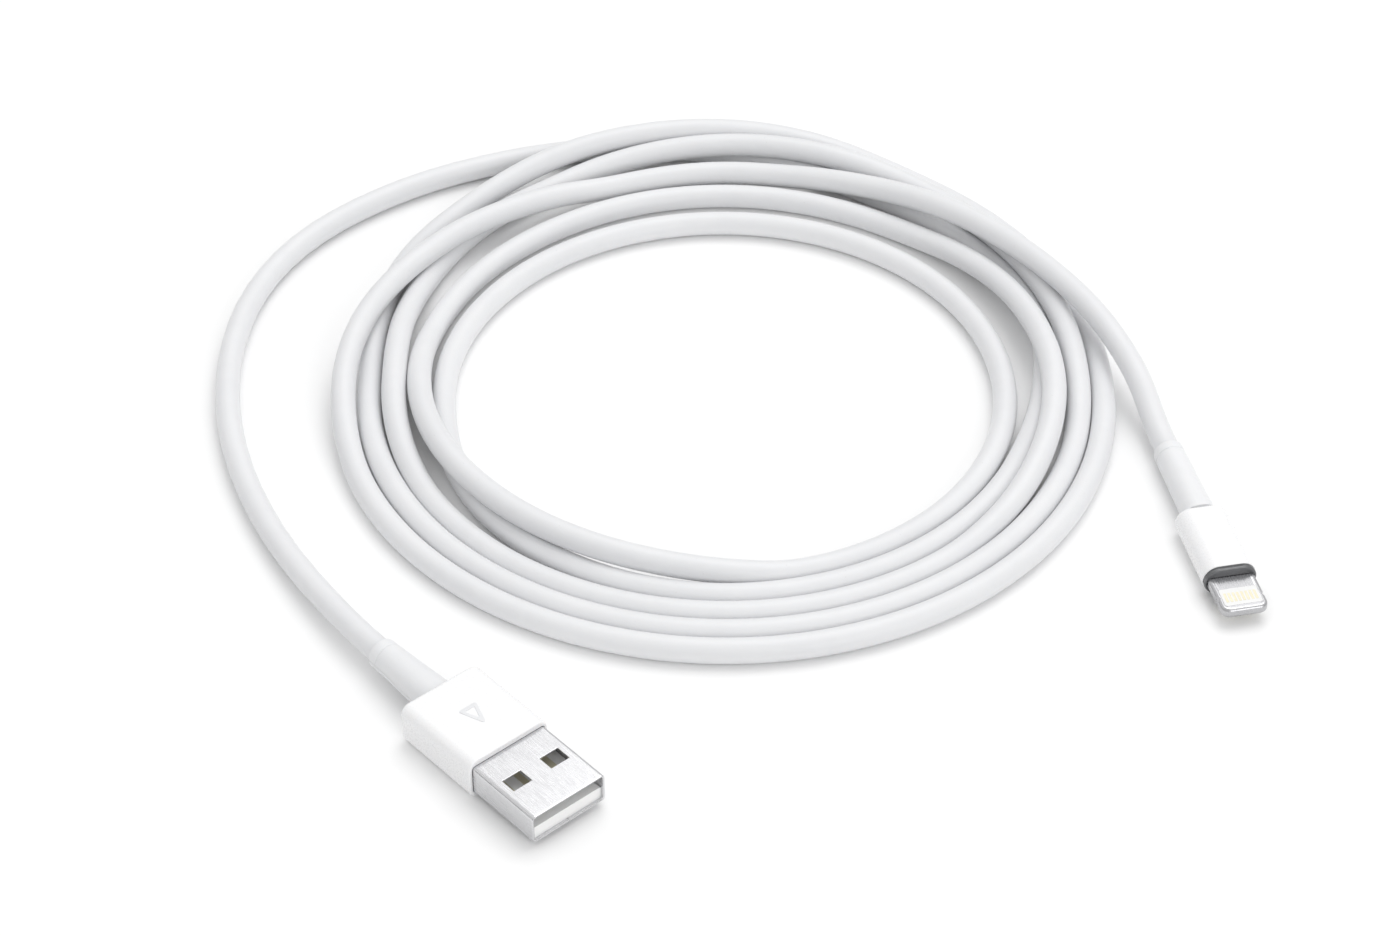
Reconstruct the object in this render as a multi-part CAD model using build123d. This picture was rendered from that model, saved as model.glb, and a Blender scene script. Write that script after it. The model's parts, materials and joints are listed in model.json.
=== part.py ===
"""Charging cable: a rectangular host plug, a small reversible device plug, and a coiled round cord.

Millimetres, +Z up, lying on the surface z = 0. The origin is the middle of the two plugs' footprint.
Each plug is built along its own X axis, with x = 0 at the tip of its metal and the cord towards -X,
and is then turned and placed as one piece.
"""

from build123d import *
from math import atan2, degrees, radians, tan
import os

# Fits shared by every plug piece
FIT = 0.02  # gap round a piece that sits in a pocket

# Cord
CORD_DIAMETER = 3.6
SURFACE_GAP = 0.05  # keeps the round cord just clear of the surface
CORD_IN_BOOT = 7.5  # jacket held inside each strain relief

# Coil of five turns, as one band
COIL_CENTRE = (-12.9, 52.4)
COIL_INNER_RADIUS = 39.1
COIL_OUTER_X = 57.5  # half width of the band's outline
COIL_OUTER_Y = 61.3  # half depth of the band's outline
COIL_OUTER_SHIFT = 3.2  # the outline's centre lies this much further back than the hole's
COIL_LAYERS = 2
COIL_ROUND = 1.6

# Host plug: where it lies
HOST_MOUTH = (-33.1, -34.4)
HOST_HEADING = -48.5

# Host plug: sizes
SHELL_WIDTH = 12.0
SHELL_HEIGHT = 4.5
SHELL_WALL = 0.3
SHELL_CORNER = 0.6
SHELL_LENGTH = 18.75
SHELL_EXPOSED = 12.1
WINDOW_LENGTH = 2.4
WINDOW_WIDTH = 3.0
WINDOW_SPACING = 6.2
WINDOW_FROM_MOUTH = 6.6
WINDOW_ROUND = 0.15
TONGUE_THICKNESS = 1.84
TONGUE_SETBACK = 0.5
CARRIER_BLOCK_START = 12.0
CARRIER_BLOCK_LENGTH = 5.0
CONTACT_WIDTH = 1.0
CONTACT_THICKNESS = 0.25
CONTACT_PROUD = 0.06
CONTACT_ROUND = 0.1
CONTACT_TAIL_END = 20.6
POWER_CONTACT_START = 2.0
DATA_CONTACT_START = 3.0
POWER_CONTACT_Y = 3.5
DATA_CONTACT_Y = 1.0
BACK_SHELL_WIDTH = SHELL_WIDTH - 1.0
BACK_SHELL_HEIGHT = SHELL_HEIGHT - 0.1
BACK_SHELL_WALL = 0.3
BACK_SHELL_LENGTH = 6.4
BACK_SHELL_CORNER = 0.7
COVER_SIDE_WALL = 0.55
COVER_TOP_WALL = 0.9
COVER_LENGTH = 14.6
COVER_SIDE_ROUND = 1.5
COVER_EDGE_ROUND = 0.7
HOST_BOOT_LENGTH = 12.5
HOST_BOOT_SIDE_WALL = 1.05  # round the cord at the boot's thick end
HOST_BOOT_TOP_WALL = 0.7
BOOT_TIP_WALL = 0.4  # wall round the cord at the thin end of either strain relief
BOOT_GROOVE_WIDTH = 0.2  # the ring cut near the thin end
BOOT_GROOVE_DEPTH = 0.07
BOOT_GROOVE_FROM_END = 1.6
CRIMP_LENGTH = 3.0
CRIMP_WALL = 0.2
WIRE_DIAMETER = 0.8
WIRE_PITCH = 0.95
WIRE_BORE_GAP = 0.25  # round the four wires together

# Device plug: where it lies
DEVICE_TIP = (57.7, 3.8)
DEVICE_HEADING = -78.1

# Device plug: sizes
TAB_WIDTH = 6.7
TAB_THICKNESS = 1.5
TAB_EXPOSED = 6.7
TAB_LENGTH = 10.5
TAB_SHOULDER = 0.45  # the frame is this much narrower each side where the mould holds it
TAB_TIP_ROUND = 1.3
NOTCH_RADIUS = 0.45
NOTCH_FROM_TIP = 2.7
BLOCK_START = 1.0
BLOCK_LENGTH = 3.3
BLOCK_SIDE_WALL = 0.65  # steel left each side of the contact block
BLOCK_CORE_STEP = 0.3
BLOCK_CORE_THICKNESS = 0.7
BLOCK_ROUND = 0.05
PAD_COUNT = 8
PAD_PITCH = 0.6
PAD_WIDTH = 0.38
PAD_LENGTH = 1.8
PAD_FROM_BLOCK = 0.65
PAD_DEPTH = 0.15
PAD_PROUD = 0.02
PAD_ROUND = 0.03
HOUSING_SIDE = 0.5  # the housing is this much wider each side than the tab
HOUSING_TOP = 1.5
HOUSING_WALL = 0.55
HOUSING_LENGTH = 12.9
HOUSING_REAR_WALL = 0.8
HOUSING_REAR_ROUND = 0.5
FACE_PLATE_THICKNESS = 0.7
FACE_PLATE_INSET = 0.12
FACE_PLATE_ROUND = 0.2
DEVICE_BOOT_LENGTH = 14.6
DEVICE_BOOT_SIDE_WALL = 0.65
DEVICE_BOOT_TOP_WALL = 0.35
SHIELD_WALL = 0.2
SHIELD_END_GAP = 0.68  # to the rear wall of the housing
BOARD_SIDE_GAP = 0.58  # to the inside of the shield
BOARD_THICKNESS = 0.6
BOARD_END_GAP = 0.7
BOARD_ROUND = 0.05
CHIP_SIZE = 2.2
CHIP_HEIGHT = 0.6
PASSIVE_SIZE = (1.0, 0.5, 0.4)
PASSIVE_SPACING = 1.5

CORD_RADIUS = CORD_DIAMETER / 2
CORD_Z = CORD_RADIUS + SURFACE_GAP
COIL_HEIGHT = COIL_LAYERS * CORD_DIAMETER
COVER_WIDTH = SHELL_WIDTH + 2 * COVER_SIDE_WALL
COVER_HEIGHT = SHELL_HEIGHT + 2 * COVER_TOP_WALL
HOST_BOOT_WIDTH = CORD_DIAMETER + 2 * HOST_BOOT_SIDE_WALL
HOST_BOOT_HEIGHT = CORD_DIAMETER + 2 * HOST_BOOT_TOP_WALL
WIRE_BORE = WIRE_PITCH / 2**0.5 + WIRE_DIAMETER / 2 + WIRE_BORE_GAP
TAB_REAR_WIDTH = TAB_WIDTH - 2 * TAB_SHOULDER
BLOCK_WIDTH = TAB_WIDTH - 2 * BLOCK_SIDE_WALL
HOUSING_WIDTH = TAB_WIDTH + 2 * HOUSING_SIDE
HOUSING_HEIGHT = TAB_THICKNESS + 2 * HOUSING_TOP
DEVICE_BOOT_WIDTH = CORD_DIAMETER + 2 * DEVICE_BOOT_SIDE_WALL
DEVICE_BOOT_HEIGHT = CORD_DIAMETER + 2 * DEVICE_BOOT_TOP_WALL
SHIELD_WIDTH = HOUSING_WIDTH - 2 * HOUSING_WALL - 2 * FIT
SHIELD_HEIGHT = HOUSING_HEIGHT - 2 * HOUSING_WALL - 2 * FIT
SHIELD_START = TAB_LENGTH + FIT
HOST_Z = max(COVER_HEIGHT, HOST_BOOT_HEIGHT, CORD_DIAMETER + 2 * BOOT_TIP_WALL) / 2
DEVICE_Z = max(HOUSING_HEIGHT, DEVICE_BOOT_HEIGHT, CORD_DIAMETER + 2 * BOOT_TIP_WALL) / 2
HOST_END = SHELL_EXPOSED + COVER_LENGTH + HOST_BOOT_LENGTH
DEVICE_FRONT = TAB_EXPOSED + FACE_PLATE_THICKNESS
HOUSING_END = DEVICE_FRONT + HOUSING_LENGTH
SHIELD_LENGTH = HOUSING_END - HOUSING_REAR_WALL - SHIELD_END_GAP - SHIELD_START
BOARD_WIDTH = SHIELD_WIDTH - 2 * SHIELD_WALL - 2 * BOARD_SIDE_GAP
BOARD_LENGTH = SHIELD_LENGTH - 2 * SHIELD_WALL - BOARD_END_GAP
DEVICE_END = HOUSING_END + DEVICE_BOOT_LENGTH

HOST_POSE = Location((*HOST_MOUTH, HOST_Z), (0, 0, HOST_HEADING))
DEVICE_POSE = Location((*DEVICE_TIP, DEVICE_Z), (0, 0, DEVICE_HEADING))


def station(x):
    """The plane across a plug at the distance x behind its tip, with width as its first axis."""
    return Plane(origin=(-x, 0, 0), x_dir=(0, 1, 0), z_dir=(-1, 0, 0))


def bar(width, height, round_, start, length):
    """A bar of rounded rectangular section along a plug, from the distance start behind its tip."""
    section = RectangleRounded(width, height, min(round_, 0.499 * width, 0.499 * height))
    return extrude(station(start) * section, length)


def rod(radius, start, length, y=0.0, z=0.0):
    """A round rod along a plug, from the distance start behind its tip."""
    # the plane's first axis is +Y and its normal is -X, so its second axis is -Z
    return extrude(station(start) * Pos(y, -z) * Circle(radius), length)


def half(shape, upper):
    """The part of a shape above or below the plug's middle plane."""
    big = 100
    block = Pos(0, 0, big / 2 if upper else -big / 2) * Box(big, big, big)
    return shape & block


def wires(start, end, names):
    """Four insulated wires in a square, each as (name, solid)."""
    spots = [(s * WIRE_PITCH / 2, t * WIRE_PITCH / 2) for s in (-1, 1) for t in (-1, 1)]
    return {n: rod(WIRE_DIAMETER / 2, start, end - start, y, z) for n, (y, z) in zip(names, spots)}


def strain_relief(start, length, width, height):
    """A tapered boot from a plug's back to the cord, bored for the crimp, the cord and the wires."""
    tip = CORD_RADIUS + BOOT_TIP_WALL
    thick = station(start) * RectangleRounded(width, height, 0.48 * height)
    thin = station(start + length) * RectangleRounded(2 * tip, 2 * tip, 0.97 * tip)
    body = loft([thick, thin])
    groove_at = start + length - BOOT_GROOVE_FROM_END
    groove = rod(2 * tip, groove_at, BOOT_GROOVE_WIDTH)
    groove -= rod(tip - BOOT_GROOVE_DEPTH, groove_at, BOOT_GROOVE_WIDTH)
    jacket = start + length - CORD_IN_BOOT
    body -= groove
    body -= rod(CORD_RADIUS, jacket, CORD_IN_BOOT)
    body -= rod(CORD_RADIUS + CRIMP_WALL, jacket, CRIMP_LENGTH)
    body -= rod(WIRE_BORE, start, length - CORD_IN_BOOT)
    return body


def crimp(end):
    """The metal band round the last of the jacket, where the plug's end is the distance end."""
    start = end - CORD_IN_BOOT
    return rod(CORD_RADIUS + CRIMP_WALL, start, CRIMP_LENGTH) - rod(CORD_RADIUS, start, CRIMP_LENGTH)


def host_contacts():
    """Four flat contacts on the tongue: the outer pair reaches further forward."""
    top = -SHELL_HEIGHT / 2 + SHELL_WALL + TONGUE_THICKNESS + CONTACT_PROUD
    rows = {
        "host_contact_power": (-POWER_CONTACT_Y, POWER_CONTACT_START),
        "host_contact_data_minus": (-DATA_CONTACT_Y, DATA_CONTACT_START),
        "host_contact_data_plus": (DATA_CONTACT_Y, DATA_CONTACT_START),
        "host_contact_ground": (POWER_CONTACT_Y, POWER_CONTACT_START),
    }
    made = {}
    for name, (y, start) in rows.items():
        length = CONTACT_TAIL_END - start
        strip = bar(CONTACT_WIDTH, CONTACT_THICKNESS, CONTACT_ROUND, start, length)
        made[name] = Pos(0, y, top - CONTACT_THICKNESS / 2) * strip
    return made


def host_plug():
    """The rectangular plug's pieces, by name."""
    inner_width = SHELL_WIDTH - 2 * SHELL_WALL
    inner_height = SHELL_HEIGHT - 2 * SHELL_WALL
    parts = host_contacts()
    contacts = list(parts.values())

    shell = bar(SHELL_WIDTH, SHELL_HEIGHT, SHELL_CORNER, 0, SHELL_LENGTH)
    lip = shell.faces().sort_by(Axis.X)[-1].edges()
    shell = fillet(lip, 0.4 * SHELL_WALL)
    shell -= bar(inner_width, inner_height, SHELL_CORNER - SHELL_WALL, 0, SHELL_LENGTH)
    for y in (-WINDOW_SPACING / 2, WINDOW_SPACING / 2):
        window = Box(WINDOW_LENGTH, WINDOW_WIDTH, 2 * SHELL_HEIGHT)
        window = fillet(window.edges().filter_by(Axis.Z), WINDOW_ROUND)
        shell -= Pos(-WINDOW_FROM_MOUTH, y, 0) * window
    parts["host_shell"] = shell

    block_end = CARRIER_BLOCK_START + CARRIER_BLOCK_LENGTH
    floor = -inner_height / 2
    tongue = bar(inner_width - 2 * FIT, TONGUE_THICKNESS, SHELL_CORNER - SHELL_WALL,
                 TONGUE_SETBACK, block_end - TONGUE_SETBACK)
    tongue = Pos(0, 0, floor + TONGUE_THICKNESS / 2) * tongue
    block = bar(inner_width - 2 * FIT, inner_height, SHELL_CORNER - SHELL_WALL,
                CARRIER_BLOCK_START, CARRIER_BLOCK_LENGTH)
    carrier = tongue + block
    for contact in contacts:
        carrier -= contact
    parts["host_contact_carrier"] = carrier

    can_start = SHELL_LENGTH + FIT
    can_end = can_start + BACK_SHELL_LENGTH
    wire_start = CONTACT_TAIL_END + FIT
    jacket = HOST_END - CORD_IN_BOOT
    strands = wires(wire_start, jacket, ["host_wire_power", "host_wire_data_minus",
                                         "host_wire_data_plus", "host_wire_ground"])
    parts.update(strands)
    can = bar(BACK_SHELL_WIDTH, BACK_SHELL_HEIGHT, BACK_SHELL_CORNER, can_start, BACK_SHELL_LENGTH)
    core = bar(BACK_SHELL_WIDTH - 2 * BACK_SHELL_WALL, BACK_SHELL_HEIGHT - 2 * BACK_SHELL_WALL,
               BACK_SHELL_CORNER - BACK_SHELL_WALL, can_start, BACK_SHELL_LENGTH - BACK_SHELL_WALL)
    can -= core
    can -= rod(WIRE_BORE, can_start, BACK_SHELL_LENGTH)
    parts["host_back_shell_upper"] = half(can, True)
    parts["host_back_shell_lower"] = half(can, False)
    mould = core
    for piece in contacts + list(strands.values()):
        mould -= piece
    parts["host_inner_mould"] = mould

    cover = bar(COVER_WIDTH, COVER_HEIGHT, COVER_SIDE_ROUND, SHELL_EXPOSED, COVER_LENGTH)
    cover = fillet(cover.faces().sort_by(Axis.X)[0].edges(), COVER_EDGE_ROUND)
    cover -= bar(SHELL_WIDTH, SHELL_HEIGHT, SHELL_CORNER, 0, SHELL_LENGTH + FIT)
    cover -= bar(BACK_SHELL_WIDTH, BACK_SHELL_HEIGHT, BACK_SHELL_CORNER, can_start,
                 BACK_SHELL_LENGTH)
    cover -= rod(WIRE_BORE, can_end, COVER_LENGTH)
    parts["host_cover"] = cover
    boot_start = SHELL_EXPOSED + COVER_LENGTH
    parts["host_strain_relief"] = strain_relief(boot_start, HOST_BOOT_LENGTH, HOST_BOOT_WIDTH,
                                                HOST_BOOT_HEIGHT)
    parts["host_cord_crimp"] = crimp(HOST_END)
    return {name: HOST_POSE * shape for name, shape in parts.items()}


def device_pads(upper):
    """One face's row of flat contact pads, as separate solids."""
    side = 1 if upper else -1
    z = side * (TAB_THICKNESS / 2 + PAD_PROUD - PAD_DEPTH / 2)
    start = BLOCK_START + PAD_FROM_BLOCK
    pad = bar(PAD_WIDTH, PAD_DEPTH, PAD_ROUND, start, PAD_LENGTH)
    first = -(PAD_COUNT - 1) / 2 * PAD_PITCH
    return [Pos(0, first + i * PAD_PITCH, z) * pad for i in range(PAD_COUNT)]


def device_plug():
    """The small reversible plug's pieces, by name."""
    parts = {}
    pads_up, pads_down = device_pads(True), device_pads(False)
    parts["device_contacts_upper"] = Compound(children=pads_up)
    parts["device_contacts_lower"] = Compound(children=pads_down)

    block = bar(BLOCK_WIDTH, TAB_THICKNESS, BLOCK_ROUND, BLOCK_START, BLOCK_LENGTH)
    core = bar(BLOCK_WIDTH - 2 * BLOCK_CORE_STEP, BLOCK_CORE_THICKNESS, BLOCK_ROUND, BLOCK_START,
               TAB_LENGTH - BLOCK_START)
    insert = block + core
    tab = bar(TAB_WIDTH, TAB_THICKNESS, TAB_THICKNESS / 2, 0, DEVICE_FRONT)
    tab_rear = bar(TAB_REAR_WIDTH, TAB_THICKNESS, TAB_THICKNESS / 2, DEVICE_FRONT,
                   TAB_LENGTH - DEVICE_FRONT)
    frame = tab + tab_rear
    plan = Pos(-TAB_LENGTH, 0, 0) * Rectangle(2 * TAB_LENGTH, TAB_WIDTH)
    tip = plan.vertices().group_by(Axis.X)[-1]
    frame &= extrude(fillet(tip, TAB_TIP_ROUND), TAB_THICKNESS, both=True)
    for y in (-TAB_WIDTH / 2, TAB_WIDTH / 2):
        frame -= Pos(-NOTCH_FROM_TIP, y, 0) * Cylinder(NOTCH_RADIUS, 2 * TAB_THICKNESS)
    frame -= insert
    for pad in pads_up + pads_down:
        insert -= pad
    parts["device_tab_frame"] = frame
    parts["device_contact_block"] = insert

    plate = bar(HOUSING_WIDTH - 2 * FACE_PLATE_INSET, HOUSING_HEIGHT - 2 * FACE_PLATE_INSET,
                HOUSING_HEIGHT / 2, TAB_EXPOSED, FACE_PLATE_THICKNESS)
    plate = fillet(plate.faces().sort_by(Axis.X)[-1].edges(), FACE_PLATE_ROUND)
    parts["device_face_plate"] = plate - tab

    hollow_width = HOUSING_WIDTH - 2 * HOUSING_WALL
    hollow_height = HOUSING_HEIGHT - 2 * HOUSING_WALL
    housing = bar(HOUSING_WIDTH, HOUSING_HEIGHT, HOUSING_HEIGHT / 2, DEVICE_FRONT, HOUSING_LENGTH)
    housing = fillet(housing.faces().sort_by(Axis.X)[0].edges(), HOUSING_REAR_ROUND)
    housing -= bar(hollow_width, hollow_height, hollow_height / 2, DEVICE_FRONT,
                   HOUSING_LENGTH - HOUSING_REAR_WALL)
    housing -= rod(WIRE_BORE, DEVICE_FRONT, HOUSING_LENGTH)
    parts["device_housing"] = housing

    mould = bar(hollow_width, hollow_height, hollow_height / 2, DEVICE_FRONT,
                SHIELD_START - DEVICE_FRONT)
    parts["device_inner_mould"] = mould - tab_rear

    can = bar(SHIELD_WIDTH, SHIELD_HEIGHT, SHIELD_HEIGHT / 2, SHIELD_START, SHIELD_LENGTH)
    can -= bar(SHIELD_WIDTH - 2 * SHIELD_WALL, SHIELD_HEIGHT - 2 * SHIELD_WALL, SHIELD_HEIGHT / 2,
               SHIELD_START, SHIELD_LENGTH - SHIELD_WALL)
    can -= rod(WIRE_BORE, SHIELD_START, SHIELD_LENGTH)
    parts["device_shield_upper"] = half(can, True)
    parts["device_shield_lower"] = half(can, False)

    board_start = SHIELD_START + SHIELD_WALL
    board = bar(BOARD_WIDTH, BOARD_THICKNESS, BOARD_ROUND, board_start, BOARD_LENGTH)
    parts["device_circuit_board"] = board
    middle = board_start + BOARD_LENGTH / 2
    chip_z = (BOARD_THICKNESS + CHIP_HEIGHT) / 2
    parts["device_charge_chip"] = Pos(-middle, 0, chip_z) * Box(CHIP_SIZE, CHIP_SIZE, CHIP_HEIGHT)
    passive_z = -(BOARD_THICKNESS + PASSIVE_SIZE[2]) / 2
    spots = [(i, j) for i in (-1, 1) for j in (-1, 1)]
    passives = [Pos(-middle + i * PASSIVE_SPACING, j * PASSIVE_SPACING / 2, passive_z)
                * Box(*PASSIVE_SIZE) for i, j in spots]
    parts["device_passives"] = Compound(children=passives)

    wire_start = board_start + BOARD_LENGTH + FIT
    jacket = DEVICE_END - CORD_IN_BOOT
    parts.update(wires(wire_start, jacket, ["device_wire_power", "device_wire_data_minus",
                                            "device_wire_data_plus", "device_wire_ground"]))
    parts["device_strain_relief"] = strain_relief(HOUSING_END, DEVICE_BOOT_LENGTH,
                                                  DEVICE_BOOT_WIDTH, DEVICE_BOOT_HEIGHT)
    parts["device_cord_crimp"] = crimp(DEVICE_END)
    return {name: DEVICE_POSE * shape for name, shape in parts.items()}


def on_axis(pose, distance):
    """The point on a plug's axis at a distance behind its tip, in the part's frame."""
    point = (pose * Pos(-distance, 0, 0)).position
    return (point.X, point.Y, point.Z)


def cord_run(name, points):
    """A round tube along straight runs joined by arcs as large as their runs allow."""
    path = [Vector(*p) for p in points]
    radii = []
    for before, here, after in zip(path, path[1:], path[2:]):
        turn = (here - before).get_angle(after - here)
        shorter = min((here - before).length, (after - here).length)
        radii.append(0.45 * shorter / tan(radians(turn) / 2))
    line = FilletPolyline(*path, radius=radii)
    section = Plane(origin=line @ 0, z_dir=line % 0) * Circle(CORD_RADIUS)
    tube = sweep(section, path=line)
    ratio = tube.volume / (section.area * line.length)
    print(f"{name}: length {line.length:.1f}, volume ratio {ratio:.4f}, "
          f"arc radii {[round(r, 1) for r in radii]}")
    return tube


def coil():
    """The band that the five turns fill: an oval outline round a circular hole."""
    x, y = COIL_CENTRE
    outline = Pos(x, y + COIL_OUTER_SHIFT) * Ellipse(COIL_OUTER_X, COIL_OUTER_Y)
    band = extrude(outline - Pos(x, y) * Circle(COIL_INNER_RADIUS), COIL_HEIGHT)
    top = band.faces().sort_by(Axis.Z)[-1].edges()
    return fillet(top, COIL_ROUND)


def cord():
    """The cord's three solids: both free runs and the coil between them."""
    z = CORD_Z
    # from inside the host strain relief, round the left of the coil and into its back edge
    host_route = [
        on_axis(HOST_POSE, HOST_END - CORD_IN_BOOT),
        on_axis(HOST_POSE, HOST_END + 8),
        (-76.1, 19.8, z),
        (-83.7, 39.2, z),
        (-86.3, 58.6, z),
        (-83.9, 76.8, z),
        (-76.1, 91.6, z),
        (-61.9, 103.8, z),
        (-45.9, 109.8, z),
        (-30.0, 110.2, z),
    ]
    # from the top of the coil's right side, down to the surface and into the device strain relief
    device_route = [
        (15.0, 86.7, z + 3.0),
        (27.7, 79.7, z + 3.2),
        (38.9, 69.8, z + 2.6),
        (45.6, 58.6, z),
        on_axis(DEVICE_POSE, DEVICE_END + 6.6),
        on_axis(DEVICE_POSE, DEVICE_END - CORD_IN_BOOT),
    ]
    band = coil()
    return {
        "host_cord_run": cord_run("host cord run", host_route) - band,
        "cord_coil": band,
        "device_cord_run": cord_run("device cord run", device_route) - band,
    }


def main():
    """Build every piece and write one STEP file for each."""
    os.makedirs("parts", exist_ok=True)
    for name, shape in {**host_plug(), **device_plug(), **cord()}.items():
        export_step(shape, f"parts/{name}.step")


main()
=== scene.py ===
"""Looks for the coiled charging cable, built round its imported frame.

Blender 4.5. Metres, +Z up, in the frame's own axes. The cord is one smooth spline. The plugs keep
their modelled pieces or get finer ones of the same size, and every surface has a procedural finish.
"""

import json
import logging
import math
from dataclasses import dataclass, field
from enum import Enum
from typing import Iterable, Sequence

import bmesh
import bpy
import numpy as np
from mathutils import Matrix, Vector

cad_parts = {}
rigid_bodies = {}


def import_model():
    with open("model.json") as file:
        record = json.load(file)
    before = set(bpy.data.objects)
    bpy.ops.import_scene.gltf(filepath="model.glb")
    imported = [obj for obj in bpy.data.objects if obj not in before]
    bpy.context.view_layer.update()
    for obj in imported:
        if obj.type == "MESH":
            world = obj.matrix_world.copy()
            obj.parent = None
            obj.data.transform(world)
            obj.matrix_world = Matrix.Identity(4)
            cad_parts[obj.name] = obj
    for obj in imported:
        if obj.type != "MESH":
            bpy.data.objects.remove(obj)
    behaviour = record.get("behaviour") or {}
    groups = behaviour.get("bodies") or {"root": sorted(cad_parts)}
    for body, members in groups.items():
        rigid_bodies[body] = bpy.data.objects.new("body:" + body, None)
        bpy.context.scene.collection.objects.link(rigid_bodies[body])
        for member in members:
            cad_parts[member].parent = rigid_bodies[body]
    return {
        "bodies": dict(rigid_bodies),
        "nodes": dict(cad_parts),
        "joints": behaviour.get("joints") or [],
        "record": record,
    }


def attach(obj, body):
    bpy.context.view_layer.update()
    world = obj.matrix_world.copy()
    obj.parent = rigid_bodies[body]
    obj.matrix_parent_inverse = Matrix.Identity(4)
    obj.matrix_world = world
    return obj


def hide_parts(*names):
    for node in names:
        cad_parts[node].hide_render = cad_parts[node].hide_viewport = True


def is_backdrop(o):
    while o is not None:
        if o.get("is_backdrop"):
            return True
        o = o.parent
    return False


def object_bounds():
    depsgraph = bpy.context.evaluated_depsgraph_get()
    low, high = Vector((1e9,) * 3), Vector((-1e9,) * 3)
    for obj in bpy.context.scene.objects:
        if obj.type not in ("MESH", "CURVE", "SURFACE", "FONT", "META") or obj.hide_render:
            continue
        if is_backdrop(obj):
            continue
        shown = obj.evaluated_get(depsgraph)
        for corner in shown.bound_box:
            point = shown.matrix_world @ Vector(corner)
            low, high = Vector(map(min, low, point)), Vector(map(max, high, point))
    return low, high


LOG = logging.getLogger("charging_cable")
MM = 0.001
BODY = "root"
Point = tuple[float, float, float]
Colour = tuple[float, float, float]


# ---------------------------------------------------------------- node graphs


class Graph:
    """A short way to add and join nodes in a material or a node group."""

    def __init__(self, tree: bpy.types.NodeTree) -> None:
        """Keep the tree that nodes are added to."""
        self.tree = tree

    def add(self, kind: str, **settings: object) -> bpy.types.Node:
        """Add one node.

        Args:
            kind: the node's type name.
            settings: attributes of the node, such as its operation.
        Returns:
            The new node.
        """
        node = self.tree.nodes.new(kind)
        for name, value in settings.items():
            setattr(node, name, value)
        return node

    def put(self, socket: bpy.types.NodeSocket, value: object) -> None:
        """Link an input to another node's output, or give it a plain value."""
        if isinstance(value, bpy.types.NodeSocket):
            self.tree.links.new(value, socket)
        else:
            socket.default_value = value

    def feed(self, node: bpy.types.Node, **values: object) -> bpy.types.Node:
        """Set or link a node's inputs by name, where an underscore stands for a space.

        Args:
            node: the node whose inputs are set.
            values: a socket to link, or a plain value.
        Returns:
            The same node.
        """
        for name, value in values.items():
            self.put(node.inputs[name.replace("_", " ")], value)
        return node

    def noise(self, vector: bpy.types.NodeSocket, scale: object, detail: float,
              roughness: float = 0.5) -> bpy.types.NodeSocket:
        """A noise value between 0 and 1 over the given coordinates."""
        node = self.add("ShaderNodeTexNoise")
        self.feed(node, Vector=vector, Scale=scale, Detail=detail, Roughness=roughness)
        return node.outputs["Fac"]

    def math(self, operation: str, first: object, second: object = 0.0,
             clamp: bool = False) -> bpy.types.NodeSocket:
        """One arithmetic step on two values."""
        node = self.add("ShaderNodeMath", operation=operation, use_clamp=clamp)
        for socket, value in zip(node.inputs, (first, second)):
            self.put(socket, value)
        return node.outputs[0]

    def spread(self, value: bpy.types.NodeSocket, low: float, high: float,
               to_low: float = 0.0, to_high: float = 1.0) -> bpy.types.NodeSocket:
        """Map a value from one range to another, smoothly and clamped."""
        node = self.add("ShaderNodeMapRange", interpolation_type="SMOOTHSTEP")
        self.feed(node, Value=value, From_Min=low, From_Max=high, To_Min=to_low, To_Max=to_high)
        return node.outputs["Result"]

    def blend(self, factor: object, first: object, second: object) -> bpy.types.NodeSocket:
        """Mix two colours by a factor. Counted from 0, the colours are inputs 6 and 7."""
        node = self.add("ShaderNodeMix", data_type="RGBA")
        for place, value in ((0, factor), (6, first), (7, second)):
            self.put(node.inputs[place], value)
        return node.outputs[2]


class Effect(Enum):
    """The shared surface effects, each a node group of its own."""

    MOTTLE = "mottle"
    FINE_GRAIN = "fine_grain"
    BRUSHED = "brushed"
    DUST = "dust"


def rgba(colour: Colour) -> tuple[float, float, float, float]:
    """A colour with full opacity."""
    return (*colour, 1.0)


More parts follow.
